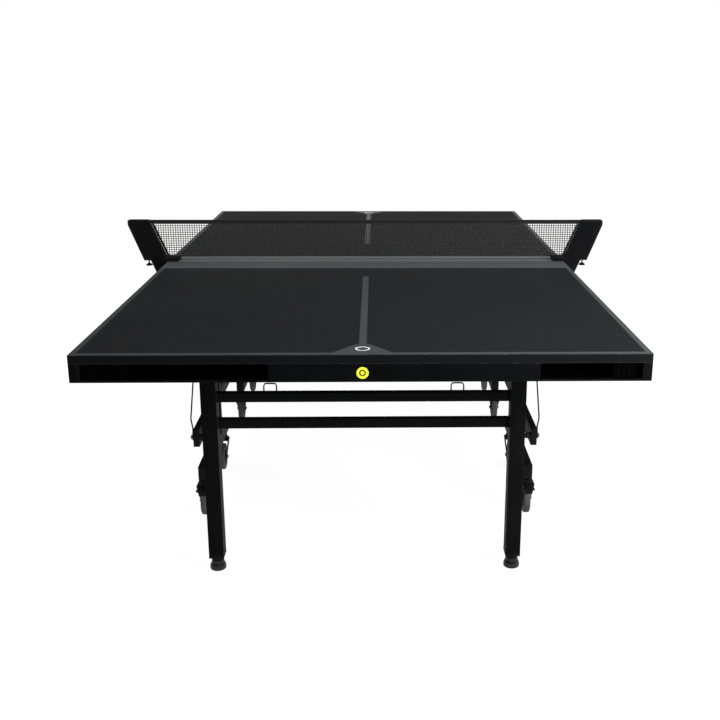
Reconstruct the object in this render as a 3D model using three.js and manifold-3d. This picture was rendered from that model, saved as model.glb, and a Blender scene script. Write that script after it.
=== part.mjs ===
// A full-size indoor ping pong table: two folding tops on one rolling undercarriage.
//
// Millimetres, +Z up. The origin is on the floor under the middle of the net. X runs across the
// table and Y along it. The near half lies at -Y. The far half is the same half turned half a turn
// about Z, so only the near half is drawn.

import * as THREE from 'three';
import { mergeVertices } from 'three/addons/utils/BufferGeometryUtils.js';
import Module from 'manifold-3d';

const wasm = await Module();
wasm.setup();

// The gap between pieces that touch.
const FIT = 0.3;

// Tops.
const LENGTH = 2740;
const WIDTH = 1525;
const HEIGHT = 760;
const BOARD = 25;
const SEAM = 3;
const APRON_BOTTOM = 685;
const APRON_WALL = 25;
const POCKET = { depth: 115, lip: 5.5, panelSetback: 17 };
const POCKETS = [
  { side: -1, inner: 245.5, outer: 628 },
  { side: 1, inner: 466.5, outer: 664 },
];
const SHEET = 3;
const BADGE_RADIUS = 16;

// The fold axis of each top, and the axis that its leg frame turns on.
const FOLD_Y = -350;
const FOLD_Z = 717;
const LEG_Y = -1088;
const LEG_Z = 690;
const PIVOT_RADIUS = 10;
const PIVOT_EAR = 16;
const PIVOT_REACH = 500;
const BEARER = { reach: 520, width: 30, thick: 15, earGap: 9, earThick: 6 };
const FOLD_TUBE_REACH = 560;
const FOLD_BLADE = { reach: 525, width: 20 };

// Leg frames.
const LEG_X = 451;
const LEG_WIDTH = 45;
const LEG_DEPTH = 50;
const LEG_TOP = 698;
const LEG_BOTTOM = 44;
const CROSSBAR = 27;
const CROSSBAR_Z = [554, 473];
const LOOP_X = 273;
const LOOP_WIDTH = 37;
const LOOP_TOP = 596;
const LOOP_WIRE = 2.35;
const STEM_RADIUS = 5;
const STEM_REACH = 30;

// Undercarriage.
const RAIL_END = 735;
const SIDE_RAIL = { inner: 553, outer: 573, bottom: 262, top: 321 };
const LOW_RAIL = { inner: 533, outer: 563, bottom: 140, top: 190, seamEnd: 235 };
const UPRIGHT = { inner: 530, outer: SIDE_RAIL.inner - FIT, seamSide: -390, endSide: -420 };
const CROSS_TUBE_Z = [390, 430];
const STOP = { y: 722, z: 292, pin: 4, bumper: 9, head: 6.5 };
const CATCH_EYE = 8.5;
const CATCH_WIRE = 2.5;
const CATCH_X = 581;

// Casters. The stem stands CASTER_TRAIL away from the wheel's axle.
const CASTER_X = 551;
const CASTER_TRAIL = 22;
const CASTER_STEMS = [712, 262];
const WHEEL_RADIUS = 50;
const WHEEL_WIDTH = 22;
const WHEEL_EDGE = 4;
const AXLE_RADIUS = 4;
const AXLE_REACH = 20;
const FORK_PLATE = 2.5;
const FORK_CROWN = 118;
const FORK_HUB = 11;
const FORK_SPLAY = 0.11;
const SWIVEL_RADIUS = 19;
const SWIVEL_STEM = 6;
const PEDAL = { web: 24, rear: 13, tip: 21.5, heel: 16, toe: 43 };

// Net.
const NET_TOP = 912.5;
const NET_BOTTOM = 770;
const TAPE = 14.5;
const POST_HALF_DEPTH = 12;
const POST_OUTER = 915;
const POST_INNER = { low: 776, lowZ: 775, high: 835 };
const POST_EDGE = 19;
const NOTCH = { outer: 861, inner: 836, z: 756 };
const ARM = { inner: 765.5, outer: 803, top: 677 };
const JAW = { inner: 720, outer: 778, near: -60 };
const BEAM_BOTTOM = 565;
const BEAM_TOP = 600;
const SCREW = { x: 845, radius: 3, bottom: 735, top: 788, knob: 12 };

const HALF_WIDTH = WIDTH / 2;
const HALF_LENGTH = LENGTH / 2;
const BOARD_BOTTOM = HEIGHT - BOARD;
const APRON_TOP = BOARD_BOTTOM - FIT;

// ---------------------------------------------------------------- materials

function finish(color, roughness, metalness) {
  return new THREE.MeshStandardMaterial({ color, roughness, metalness });
}

const playingBoard = () => finish(0x202124, 0.75, 0);
const powderCoat = () => finish(0x141416, 0.5, 0.4);
const blackPlastic = () => finish(0x101012, 0.45, 0);
const castBlack = () => finish(0x17171a, 0.4, 0.5);
const rubber = () => finish(0x0c0c0d, 0.85, 0);
const greyTyre = () => finish(0x6f7074, 0.6, 0);
const zincSteel = () => finish(0x9a9c9f, 0.35, 0.9);
const netCord = () => finish(0x1b1b1e, 0.9, 0);
const badgeEnamel = () => finish(0xd6d628, 0.35, 0);

// ---------------------------------------------------------------- solids

function solid(geometry) {
  const bare = geometry.index ? geometry.toNonIndexed() : geometry.clone();
  bare.deleteAttribute('normal');
  bare.deleteAttribute('uv');
  const merged = mergeVertices(bare, 1e-4);
  return new wasm.Manifold(new wasm.Mesh({
    numProp: 3,
    vertProperties: new Float32Array(merged.attributes.position.array),
    triVerts: new Uint32Array(merged.index.array),
  }));
}

function geometryOf(manifold) {
  const mesh = manifold.getMesh();
  const geometry = new THREE.BufferGeometry();
  geometry.setAttribute('position', new THREE.BufferAttribute(mesh.vertProperties, 3));
  geometry.setIndex(new THREE.BufferAttribute(mesh.triVerts, 1));
  geometry.computeVertexNormals();
  return geometry;
}

// Joins the first list into one body and cuts the second list out of it.
function weld(pieces, cuts = []) {
  let body = solid(pieces[0]);
  for (const piece of pieces.slice(1)) {
    body = body.add(solid(piece));
  }
  for (const tool of cuts) {
    body = body.subtract(solid(tool));
  }
  return geometryOf(body);
}

// A box between two values on each axis, in either order.
function box([xa, xb], [ya, yb], [za, zb]) {
  const geometry = new THREE.BoxGeometry(Math.abs(xb - xa), Math.abs(yb - ya), Math.abs(zb - za));
  return geometry.translate((xa + xb) / 2, (ya + yb) / 2, (za + zb) / 2);
}

function around(middle, width) {
  return [middle - width / 2, middle + width / 2];
}

// A round bar along X between xa and xb.
function barX(radius, [xa, xb], y, z, sides = 16) {
  const geometry = new THREE.CylinderGeometry(radius, radius, Math.abs(xb - xa), sides);
  return geometry.rotateZ(Math.PI / 2).translate((xa + xb) / 2, y, z);
}

// A round bar along Z between za and zb.
function barZ(radius, x, y, [za, zb], sides = 16) {
  const geometry = new THREE.CylinderGeometry(radius, radius, zb - za, sides);
  return geometry.rotateX(Math.PI / 2).translate(x, y, (za + zb) / 2);
}

// Turns a profile of [radius, height] points about a vertical axis.
function turned(profile, sides = 24) {
  const points = profile.map(([r, z]) => new THREE.Vector2(r, z));
  return new THREE.LatheGeometry(points, sides).rotateX(Math.PI / 2);
}

function extruded(shape, depth) {
  return new THREE.ExtrudeGeometry(shape, { depth, bevelEnabled: false, curveSegments: 10 });
}

function outline(points) {
  return new THREE.Shape(points.map(([u, v]) => new THREE.Vector2(u, v)));
}

// Extrudes a (Y, Z) outline from xa to xb.
function plateX(shape, [xa, xb]) {
  const turn = new THREE.Matrix4().makeBasis(
    new THREE.Vector3(0, 1, 0),
    new THREE.Vector3(0, 0, 1),
    new THREE.Vector3(1, 0, 0),
  );
  return extruded(shape, Math.abs(xb - xa)).applyMatrix4(turn).translate(Math.min(xa, xb), 0, 0);
}

// Extrudes an (X, Z) outline over a thickness centred on Y = 0.
function plateY(shape, thickness) {
  return extruded(shape, thickness).rotateX(Math.PI / 2).translate(0, thickness / 2, 0);
}

// A round wire along straight lines whose corners are rounded by a bend length.
function wire(points, bend, radius, steps) {
  const at = points.map((p) => new THREE.Vector3(...p));
  const path = new THREE.CurvePath();
  let start = at[0];
  for (let i = 1; i < at.length - 1; i += 1) {
    const before = at[i].clone().lerp(at[i - 1], bend / at[i].distanceTo(at[i - 1]));
    const after = at[i].clone().lerp(at[i + 1], bend / at[i].distanceTo(at[i + 1]));
    path.add(new THREE.LineCurve3(start, before));
    path.add(new THREE.QuadraticBezierCurve3(before, at[i], after));
    start = after;
  }
  path.add(new THREE.LineCurve3(start, at[at.length - 1]));
  const section = new THREE.Shape();
  section.absarc(0, 0, radius, 0, 2 * Math.PI);
  return new THREE.ExtrudeGeometry(section, { extrudePath: path, steps, curveSegments: 3 });
}

// ---------------------------------------------------------------- scene graph

const table = new THREE.Group();

function piece(group, name, geometry, material) {
  const mesh = new THREE.Mesh(geometry, material);
  mesh.name = name;
  group.add(mesh);
  return mesh;
}

// ---------------------------------------------------------------- tops

function board() {
  return box([-HALF_WIDTH, HALF_WIDTH], [-HALF_LENGTH, -SEAM], [BOARD_BOTTOM, HEIGHT]);
}

// The end rail, with the two pocket mouths cut in it and the trays that stand behind them: a long one
// for bats and a short one for balls. Each mouth is wider than its tray, and a panel closes the rest.
function endRail() {
  const back = -HALF_LENGTH + APRON_WALL;
  const trayBack = back + POCKET.depth;
  const panelFront = -HALF_LENGTH + POCKET.panelSetback;
  const corner = HALF_WIDTH - APRON_WALL - FIT;
  const full = [APRON_BOTTOM, APRON_TOP];
  const rail = [box([-HALF_WIDTH, HALF_WIDTH], [-HALF_LENGTH, back], full)];
  const cuts = [];
  const trays = [];
  for (const pocket of POCKETS) {
    const side = pocket.side;
    const inner = side * (pocket.inner - SHEET);
    const outer = side * (pocket.outer + SHEET);
    const tray = [back - 1, trayBack];
    trays.push(box([inner, outer], tray, [APRON_BOTTOM, APRON_BOTTOM + SHEET]));
    trays.push(box([inner, outer], [trayBack - SHEET, trayBack], full));
    trays.push(box([inner, side * pocket.inner], tray, full));
    trays.push(box([side * pocket.outer, outer], [panelFront, trayBack], full));
    trays.push(box([side * pocket.outer, side * (corner + 1)], [panelFront, panelFront + SHEET], full));
    cuts.push(box(
      [side * pocket.inner, side * corner],
      [-HALF_LENGTH - 1, back + 1],
      [APRON_BOTTOM + POCKET.lip, HEIGHT],
    ));
  }
  const recess = new THREE.CylinderGeometry(BADGE_RADIUS + 0.5, BADGE_RADIUS + 0.5, 4, 32);
  cuts.push(recess.translate(0, -HALF_LENGTH, (APRON_BOTTOM + APRON_TOP) / 2));
  return weld([weld(rail, cuts), ...trays]);
}

function sideRail(side) {
  return box(
    [side * (HALF_WIDTH - APRON_WALL), side * HALF_WIDTH],
    [-HALF_LENGTH + APRON_WALL + FIT, -SEAM],
    [APRON_BOTTOM, APRON_TOP],
  );
}

function seamRail() {
  const reach = HALF_WIDTH - APRON_WALL - FIT;
  return box([-reach, reach], [-SEAM - APRON_WALL, -SEAM], [APRON_BOTTOM, APRON_TOP]);
}

function badge() {
  const disc = new THREE.CylinderGeometry(BADGE_RADIUS, BADGE_RADIUS, 1.6, 32);
  return disc.translate(0, -HALF_LENGTH + 0.9, (APRON_BOTTOM + APRON_TOP) / 2);
}

// A flat bar under the board with two ears that hold the leg frame's pivot tube.
function legBearer() {
  const barBottom = APRON_TOP - BEARER.thick;
  const earInner = LEG_X + LEG_WIDTH / 2 + BEARER.earGap;
  const earOuter = earInner + BEARER.earThick;
  const pieces = [
    box([-BEARER.reach, BEARER.reach], around(LEG_Y, BEARER.width), [barBottom, APRON_TOP]),
  ];
  const cuts = [];
  for (const side of [-1, 1]) {
    const thick = [side * earInner, side * earOuter];
    pieces.push(box(thick, around(LEG_Y, 2 * PIVOT_EAR), [LEG_Z, barBottom + 1]));
    pieces.push(barX(PIVOT_EAR, thick, LEG_Y, LEG_Z));
    cuts.push(barX(PIVOT_RADIUS + FIT, [side * (earInner - 1), side * (earOuter + 1)], LEG_Y, LEG_Z));
  }
  return weld(pieces, cuts);
}

// A flat bar under the board with the tube that the top turns on.
function foldBar() {
  return weld([
    barX(PIVOT_RADIUS, [-FOLD_TUBE_REACH, FOLD_TUBE_REACH], FOLD_Y, FOLD_Z),
    box([-FOLD_BLADE.reach, FOLD_BLADE.reach], around(FOLD_Y, FOLD_BLADE.width), [FOLD_Z, APRON_TOP]),
  ]);
}

// ---------------------------------------------------------------- legs

function legFrame() {
  const inside = LEG_X - LEG_WIDTH / 2;
  const pieces = [barX(PIVOT_RADIUS, [-PIVOT_REACH, PIVOT_REACH], LEG_Y, LEG_Z)];
  const cuts = [];
  for (const z of CROSSBAR_Z) {
    pieces.push(box([-inside - 1, inside + 1], around(LEG_Y, CROSSBAR), around(z, CROSSBAR)));
  }
  for (const side of [-1, 1]) {
    const across = around(side * LEG_X, LEG_WIDTH);
    pieces.push(box(across, around(LEG_Y, LEG_DEPTH), [LEG_BOTTOM, LEG_TOP]));
    const hole = [LEG_BOTTOM - 1, LEG_BOTTOM + STEM_REACH + 10];
    cuts.push(barZ(STEM_RADIUS + FIT, side * LEG_X, LEG_Y, hole));
    const low = CROSSBAR_Z[0];
    const high = LOOP_TOP - LOOP_WIRE;
    const [left, right] = around(side * LOOP_X, LOOP_WIDTH);
    const path = [[left, LEG_Y, low], [left, LEG_Y, high], [right, LEG_Y, high], [right, LEG_Y, low]];
    pieces.push(wire(path, 7, LOOP_WIRE, 14));
  }
  return weld(pieces, cuts);
}

// A rubber foot on a threaded stem, drawn at the foot of its leg.
function foot(side) {
  const neck = LEG_BOTTOM - FIT;
  const profile = [
    [0, 0], [20, 0], [24.5, 5], [24.5, 12], [19, 24], [19, neck],
    [STEM_RADIUS, neck], [STEM_RADIUS, LEG_BOTTOM + STEM_REACH], [0, LEG_BOTTOM + STEM_REACH],
  ];
  return turned(profile, 20).translate(side * LEG_X, LEG_Y, 0);
}

// ---------------------------------------------------------------- undercarriage

// The lower rail, its upright and the ear that holds the fold bar, as one welded frame.
function wheelFrame(side) {
  const upright = [side * UPRIGHT.inner, side * UPRIGHT.outer];
  const earX = [side * (UPRIGHT.outer - 8), side * UPRIGHT.outer];
  const earTop = FOLD_Z + PIVOT_EAR;
  const ear = outline([
    [UPRIGHT.seamSide, FOLD_Z - 60], [UPRIGHT.seamSide, earTop], [FOLD_Y, earTop],
    [FOLD_Y, FOLD_Z - PIVOT_EAR],
  ]);
  const pieces = [
    box([side * LOW_RAIL.inner, side * LOW_RAIL.outer], [-RAIL_END, -LOW_RAIL.seamEnd],
      [LOW_RAIL.bottom, LOW_RAIL.top]),
    box(upright, [UPRIGHT.endSide, UPRIGHT.seamSide], [LOW_RAIL.top - 1, earTop]),
    plateX(ear, earX),
    barX(PIVOT_EAR, earX, FOLD_Y, FOLD_Z),
  ];
  const cuts = [barX(PIVOT_RADIUS + FIT, [side * UPRIGHT.inner, side * FOLD_TUBE_REACH], FOLD_Y, FOLD_Z)];
  for (const stem of CASTER_STEMS) {
    cuts.push(barZ(SWIVEL_STEM + FIT, side * CASTER_X, -stem, [LOW_RAIL.bottom - 1, LOW_RAIL.bottom + 35]));
  }
  return weld(pieces, cuts);
}

function crossTube() {
  const reach = UPRIGHT.inner - FIT;
  return box([-reach, reach], [UPRIGHT.endSide, UPRIGHT.seamSide], CROSS_TUBE_Z);
}

// A long rail that joins the near and far wheel frames, with a bolt and a rubber stop at each end.
function longRail(side) {
  const pieces = [box([side * SIDE_RAIL.inner, side * SIDE_RAIL.outer], [-RAIL_END, RAIL_END],
    [SIDE_RAIL.bottom, SIDE_RAIL.top])];
  for (const y of [-STOP.y, STOP.y]) {
    const bumper = [side * (SIDE_RAIL.inner - 18), side * (SIDE_RAIL.inner + 1)];
    const head = [side * (SIDE_RAIL.outer + 3.6), side * (SIDE_RAIL.outer + 9)];
    pieces.push(barX(STOP.pin, [side * SIDE_RAIL.outer - side, head[1]], y, STOP.z, 16));
    pieces.push(barX(STOP.bumper, bumper, y, STOP.z, 16));
    pieces.push(barX(STOP.head, head, y, STOP.z, 6));
  }
  return weld(pieces);
}

// A thin bent rod with an eye round the rail's bolt. Its hooked top lies under the side of the top.
function catchRod(side) {
  const eye = [side * (SIDE_RAIL.outer + FIT), side * (SIDE_RAIL.outer + 3.3)];
  const low = side * (SIDE_RAIL.outer + 2 * FIT + CATCH_WIRE);
  const high = side * CATCH_X;
  const path = [
    [low, -STOP.y + 1, STOP.z + STOP.head + 1], [low, -712, 319], [high, -717, 352], [high, -488, 671],
    [high - side * 20, -480, 674],
  ];
  return weld(
    [barX(CATCH_EYE, eye, -STOP.y, STOP.z), wire(path, 8, CATCH_WIRE, 20)],
    [barX(STOP.pin + FIT, [side * SIDE_RAIL.outer, side * (SIDE_RAIL.outer + 5)], -STOP.y, STOP.z)],
  );
}

// A swivel fork about its own stem: the wheel trails by CASTER_TRAIL along `trail`, +1 or -1 in Y.
function fork(trail) {
  const axleY = trail * CASTER_TRAIL;
  const inside = WHEEL_WIDTH / 2 + 0.8;
  const foot = WHEEL_RADIUS - FORK_HUB;
  const lean = FORK_SPLAY * (FORK_CROWN - foot);
  const pieces = [
    barZ(SWIVEL_STEM, 0, 0, [FORK_CROWN - 1, LOW_RAIL.bottom + 30], 10),
    turned([[0, FORK_CROWN - 2], [SWIVEL_RADIUS, FORK_CROWN - 2], [SWIVEL_RADIUS, FORK_CROWN + 8],
      [14, FORK_CROWN + 15], [9, LOW_RAIL.bottom - FIT], [0, LOW_RAIL.bottom - FIT]], 12),
    box([-inside - FORK_PLATE - lean, inside + FORK_PLATE + lean], around(trail * 5, 42),
      [FORK_CROWN - 6, FORK_CROWN]),
    barX(AXLE_RADIUS, [-AXLE_REACH, AXLE_REACH], axleY, WHEEL_RADIUS, 10),
  ];
  const cheek = outline([
    [trail * 26, FORK_CROWN], [trail * -16, FORK_CROWN], [trail * -16, FORK_CROWN - 22],
    [axleY - trail * FORK_HUB, WHEEL_RADIUS], [axleY + trail * FORK_HUB, WHEEL_RADIUS],
  ]);
  for (const side of [-1, 1]) {
    const thick = [side * inside, side * (inside + FORK_PLATE)];
    const splay = new THREE.Matrix4().makeShear(0, 0, 0, 0, side * FORK_SPLAY, 0);
    pieces.push(plateX(cheek, thick).applyMatrix4(splay).translate(-side * FORK_SPLAY * foot, 0, 0));
    pieces.push(barX(FORK_HUB, [side * inside, side * (inside + 4)], axleY, WHEEL_RADIUS, 12));
    pieces.push(barX(6.5, [side * (inside + 1), side * AXLE_REACH], axleY, WHEEL_RADIUS, 6));
  }
  return weld(pieces);
}

// A wheel with a bored hub, turned about its axle.
function wheel() {
  const half = WHEEL_WIDTH / 2;
  const bore = AXLE_RADIUS + FIT;
  const shoulder = WHEEL_RADIUS - WHEEL_EDGE;
  const profile = [
    [bore, -half], [shoulder, -half], [WHEEL_RADIUS, WHEEL_EDGE - half],
    [WHEEL_RADIUS, half - WHEEL_EDGE], [shoulder, half], [bore, half], [bore, -half],
  ];
  return turned(profile, 20).rotateY(Math.PI / 2);
}

// A brake pedal on the leading side of an outer caster's fork: a flared tread over a narrower web.
function pedal(trail) {
  const lead = -trail;
  const web = outline([
    [lead * 18, 114], [lead * 44, 109], [lead * 45, 95], [lead * 41, 92], [lead * 31, 103], [lead * 18, 107],
  ]);
  const tread = outline([
    [lead * 17.5, 115.5], [lead * 45, 111], [lead * 47, 108.5], [lead * 45, 106], [lead * 17.5, 110.5],
  ]);
  const flanks = [];
  const clear = { x: 40, y: 50, bottom: 100, height: 20 };
  for (const side of [-1, 1]) {
    const beside = outline([
      [side * PEDAL.rear, lead * PEDAL.heel], [side * PEDAL.tip, lead * PEDAL.toe],
      [side * PEDAL.tip, lead * clear.y], [side * clear.x, lead * clear.y],
      [side * clear.x, lead * PEDAL.heel],
    ]);
    flanks.push(extruded(beside, clear.height).translate(0, 0, clear.bottom));
  }
  return weld([plateX(tread, around(0, 2 * PEDAL.tip)), plateX(web, around(0, PEDAL.web))], flanks);
}

// ---------------------------------------------------------------- net

function postInner(z) {
  const share = (z - POST_INNER.lowZ) / (NET_TOP - POST_INNER.lowZ);
  return POST_INNER.low + share * (POST_INNER.high - POST_INNER.low);
}

// A slanted post that carries on down outside the board, with a jaw that lies over the board's edge.
function netPost(side) {
  const shape = outline([
    [side * POST_OUTER, NET_TOP], [side * POST_OUTER, NET_TOP - POST_EDGE], [side * NOTCH.outer, NOTCH.z],
    [side * NOTCH.inner, NOTCH.z], [side * ARM.outer, ARM.top], [side * ARM.outer, BEAM_BOTTOM],
    [side * ARM.inner, BEAM_BOTTOM], [side * ARM.inner, HEIGHT + FIT],
    [side * POST_INNER.low, POST_INNER.lowZ], [side * POST_INNER.high, NET_TOP],
  ]);
  const jaw = box([side * JAW.inner, side * JAW.outer], [JAW.near, POST_HALF_DEPTH],
    [HEIGHT + FIT, POST_INNER.lowZ]);
  const screwHole = barZ(SCREW.radius + FIT, side * SCREW.x, 0, [NOTCH.z - 1, SCREW.top + 12]);
  return weld([plateY(shape, 2 * POST_HALF_DEPTH), jaw], [screwHole]);
}

function heightScrew(side) {
  const profile = [
    [0, 0], [SCREW.knob - 0.5, 0], [SCREW.knob, 3], [9, 7], [4, 10], [SCREW.radius, 10.5],
    [SCREW.radius, SCREW.top - SCREW.bottom], [0, SCREW.top - SCREW.bottom],
  ];
  return turned(profile, 20).translate(side * SCREW.x, 0, SCREW.bottom);
}

// The net's outline between two heights, kept a little clear of the slanted posts.
function netBetween(low, high, thickness) {
  const wide = postInner(high) - 0.6;
  const points = [[-wide, high], [-postInner(low) + 0.6, low], [postInner(low) - 0.6, low], [wide, high]];
  return plateY(outline(points), thickness);
}

function netSheet() {
  const skirt = JAW.inner - 1;
  return weld([
    netBetween(POST_INNER.lowZ + 0.4, NET_TOP - TAPE - FIT, 3),
    box([-skirt, skirt], [-1.5, 1.5], [NET_BOTTOM, POST_INNER.lowZ + 2]),
  ]);
}

function netBeam() {
  const reach = ARM.inner - FIT;
  const pieces = [box([-reach, reach], [-POST_HALF_DEPTH, POST_HALF_DEPTH], [BEAM_BOTTOM, BEAM_TOP])];
  for (const side of [-1, 1]) {
    pieces.push(box([side * UPRIGHT.inner, side * UPRIGHT.outer], [-POST_HALF_DEPTH, POST_HALF_DEPTH],
      [SIDE_RAIL.bottom, BEAM_BOTTOM + 1]));
  }
  return weld(pieces);
}

// ---------------------------------------------------------------- assembly

// One half of the table. `names` gives the prefixes of its pieces at -X and +X.
function half(end, names) {
  const group = new THREE.Group();
  piece(group, `${end}_board`, board(), playingBoard());
  piece(group, `${end}_end_rail`, endRail(), powderCoat());
  piece(group, `${end}_seam_rail`, seamRail(), powderCoat());
  piece(group, `${end}_leg_bearer`, legBearer(), powderCoat());
  piece(group, `${end}_fold_bar`, foldBar(), powderCoat());
  piece(group, `${end}_leg_frame`, legFrame(), powderCoat());
  piece(group, `${end}_cross_tube`, crossTube(), powderCoat());
  for (const side of [-1, 1]) {
    const name = names[side];
    piece(group, `${name}_apron_rail`, sideRail(side), powderCoat());
    piece(group, `${name}_levelling_foot`, foot(side), rubber());
    piece(group, `${name}_wheel_frame`, wheelFrame(side), powderCoat());
    piece(group, `${name}_catch_rod`, catchRod(side), zincSteel());
    const casters = [
      { at: CASTER_STEMS[0], place: 'outer', trail: 1 },
      { at: CASTER_STEMS[1], place: 'inner', trail: -1 },
    ];
    for (const { at, place, trail } of casters) {
      const caster = new THREE.Group();
      caster.position.set(side * CASTER_X, -at, 0);
      piece(caster, `${name}_${place}_fork`, fork(trail), blackPlastic());
      const rolling = piece(caster, `${name}_${place}_wheel`, wheel(), greyTyre());
      rolling.position.set(0, trail * CASTER_TRAIL, WHEEL_RADIUS);
      if (place === 'outer') {
        piece(caster, `${name}_brake_pedal`, pedal(trail), blackPlastic());
      }
      group.add(caster);
    }
  }
  table.add(group);
  return group;
}

const near = half('near', { '-1': 'near_left', 1: 'near_right' });
half('far', { '-1': 'far_right', 1: 'far_left' }).rotation.z = Math.PI;
piece(near, 'near_badge', badge(), badgeEnamel());

for (const [name, side] of [['left', -1], ['right', 1]]) {
  piece(table, `${name}_side_rail`, longRail(side), powderCoat());
  piece(table, `${name}_net_post`, netPost(side), castBlack());
  piece(table, `${name}_height_screw`, heightScrew(side), blackPlastic());
}
piece(table, 'net_beam', netBeam(), powderCoat());
piece(table, 'net', netSheet(), netCord());
piece(table, 'net_tape', netBetween(NET_TOP - TAPE, NET_TOP, 6), netCord());

export default table;
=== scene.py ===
import math

import bmesh
import bpy
from mathutils import Matrix, Vector


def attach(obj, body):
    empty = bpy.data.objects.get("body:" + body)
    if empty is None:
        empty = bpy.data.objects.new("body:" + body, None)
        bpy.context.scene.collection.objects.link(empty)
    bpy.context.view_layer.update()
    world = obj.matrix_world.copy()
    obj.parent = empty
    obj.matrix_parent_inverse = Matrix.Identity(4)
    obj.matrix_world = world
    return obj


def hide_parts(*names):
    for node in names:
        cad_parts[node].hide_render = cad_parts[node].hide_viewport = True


# The looks of a ping pong table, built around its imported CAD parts. Metres, +Z up. The origin is on
# the floor under the middle of the net, X runs across the table, and the near half is at -Y.

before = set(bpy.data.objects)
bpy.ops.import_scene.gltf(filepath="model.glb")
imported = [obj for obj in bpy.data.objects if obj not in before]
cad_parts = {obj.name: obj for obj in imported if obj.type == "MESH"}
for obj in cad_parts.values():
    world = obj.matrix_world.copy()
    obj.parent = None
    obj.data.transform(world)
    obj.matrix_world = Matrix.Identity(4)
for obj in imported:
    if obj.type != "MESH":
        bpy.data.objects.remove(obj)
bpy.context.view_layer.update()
SCENE = bpy.context.scene

# Sizes that the CAD part also has. Heights are above the floor, and X and Y are from the origin.
# A bolt or pivot is given as (Y, height), and a caster as (Y of its stem, Y of its axle).
HALF_WIDTH = 0.7625
HALF_LENGTH = 1.370
TOP = 0.760
APRON_TOP = 0.7347
APRON_BOTTOM = 0.685
SIDE_RAIL = 0.0253
BAT_POCKET_OUTER = 0.628
BALL_POCKET_OUTER = 0.664
PANEL_SETBACK = 0.017
LEG_X = 0.451
LEG_Y = 1.088
LEG_HALF = 0.0225
LEG_BOTTOM = 0.044
CROSSBARS = (0.554, 0.473)
CROSSBAR_HALF = 0.0135
RAIL_END = 0.7332
RAIL_BOLT = (0.722, 0.292)
FOLD_PIVOT = (0.350, 0.717)
CASTER_X = 0.551
OUTER_CASTER = (0.712, 0.690)
INNER_CASTER = (0.262, 0.284)
WHEEL_RADIUS = 0.050
WHEEL_HALF = 0.011
NET_TOP = 0.9125
NET_LOW = 0.775
TAPE = 0.0145
SCREW_X = 0.845

# The paint on the playing boards. The centre line, the flare, the band beside the net and the pale
# strip are measured from the middle, and the side lines, the end lines and the ring from the edges.
SIDE_LINE = 0.017
END_LINE = 0.020
CENTRE_LINE_HALF = 0.0103
CENTRE_LINE_START = 0.347
FLARE = {"length": 0.101, "narrow": 0.021, "wide": 0.0785}
RING = {"from_end": 0.058, "radius": 0.0175, "half_line": 0.0024}
BAND = 0.190
PALE_STRIP = 0.056


# ---------------------------------------------------------------- shader nodes


class Shader:
    """A Principled material, and short calls that add nodes to it."""

    def __init__(self, name):
        self.material = bpy.data.materials.new(name)
        self.material.use_nodes = True
        self.tree = self.material.node_tree
        self.bsdf = self.tree.nodes["Principled BSDF"]
        self.place = self.add("ShaderNodeTexCoord").outputs["Object"]

    def add(self, kind, inputs=None, **settings):
        node = self.tree.nodes.new(kind)
        for key, value in settings.items():
            setattr(node, key, value)
        for key, value in (inputs or {}).items():
            self.put(node.inputs[key], value)
        return node

    def put(self, socket, value):
        if isinstance(value, bpy.types.NodeSocket):
            self.tree.links.new(value, socket)
        else:
            socket.default_value = value

    def math(self, operation, a, b=0.0, clamp=False):
        node = self.add("ShaderNodeMath", {0: a, 1: b}, operation=operation, use_clamp=clamp)
        return node.outputs[0]

    def noise(self, scale, detail=3.0, roughness=0.5):
        inputs = {"Vector": self.place, "Scale": scale, "Detail": detail, "Roughness": roughness}
        return self.add("ShaderNodeTexNoise", inputs).outputs["Fac"]

    def span(self, value, low, high, to_low, to_high):
        inputs = {
            "Value": value, "From Min": low, "From Max": high, "To Min": to_low, "To Max": to_high,
        }
        return self.add("ShaderNodeMapRange", inputs).outputs["Result"]

    def mix(self, share, a, b):
        node = self.add("ShaderNodeMix", data_type="RGBA")
        self.put(node.inputs["Factor"], share)
        self.put(node.inputs[6], a)
        self.put(node.inputs[7], b)
        return node.outputs[2]

    def bump(self, height, distance, strength=1.0):
        inputs = {"Height": height, "Distance": distance, "Strength": strength}
        self.put(self.bsdf.inputs["Normal"], self.add("ShaderNodeBump", inputs).outputs[0])

    def set(self, **values):
        for key, value in values.items():
            self.put(self.bsdf.inputs[key.replace("_", " ")], value)


def rgb(value, tint=(1, 1, 1)):
    return (value * tint[0], value * tint[1], value * tint[2], 1)


COOL = (0.96, 0.98, 1.06)


def coated(name, dark, light, rough, specular, grain=1500, depth=0.00004, tint=(1, 1, 1)):
    """A coated or moulded surface: cloudy colour, uneven gloss and a fine orange peel."""
    s = Shader(name)
    cloud = s.noise(9, 4, 0.6)
    fine = s.noise(grain, 2, 0.5)
    share = s.math("ADD", s.math("MULTIPLY", cloud, 0.7), s.math("MULTIPLY", fine, 0.3))
    s.set(Base_Color=s.mix(s.span(share, 0.3, 0.7, 0, 1), rgb(dark, tint), rgb(light, tint)))
    s.set(Roughness=s.span(s.noise(28, 5, 0.65), 0.3, 0.7, rough - 0.05, rough + 0.07))
    s.set(Specular_IOR_Level=specular)
    s.bump(fine, depth)
    return s.material


def edge_worn(name, base, bare, rough, specular, tint=(1, 1, 1)):
    """The rounded edges of a coated part, rubbed a little brighter in places."""
    s = Shader(name)
    rub = s.span(s.noise(55, 6, 0.7), 0.46, 0.62, 0, 1)
    s.set(Base_Color=s.mix(rub, rgb(base, tint), rgb(bare, tint)))
    s.set(Roughness=s.span(rub, 0, 1, rough, rough - 0.12))
    s.set(Specular_IOR_Level=specular)
    s.bump(s.noise(900, 2), 0.00003)
    return s.material


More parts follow.
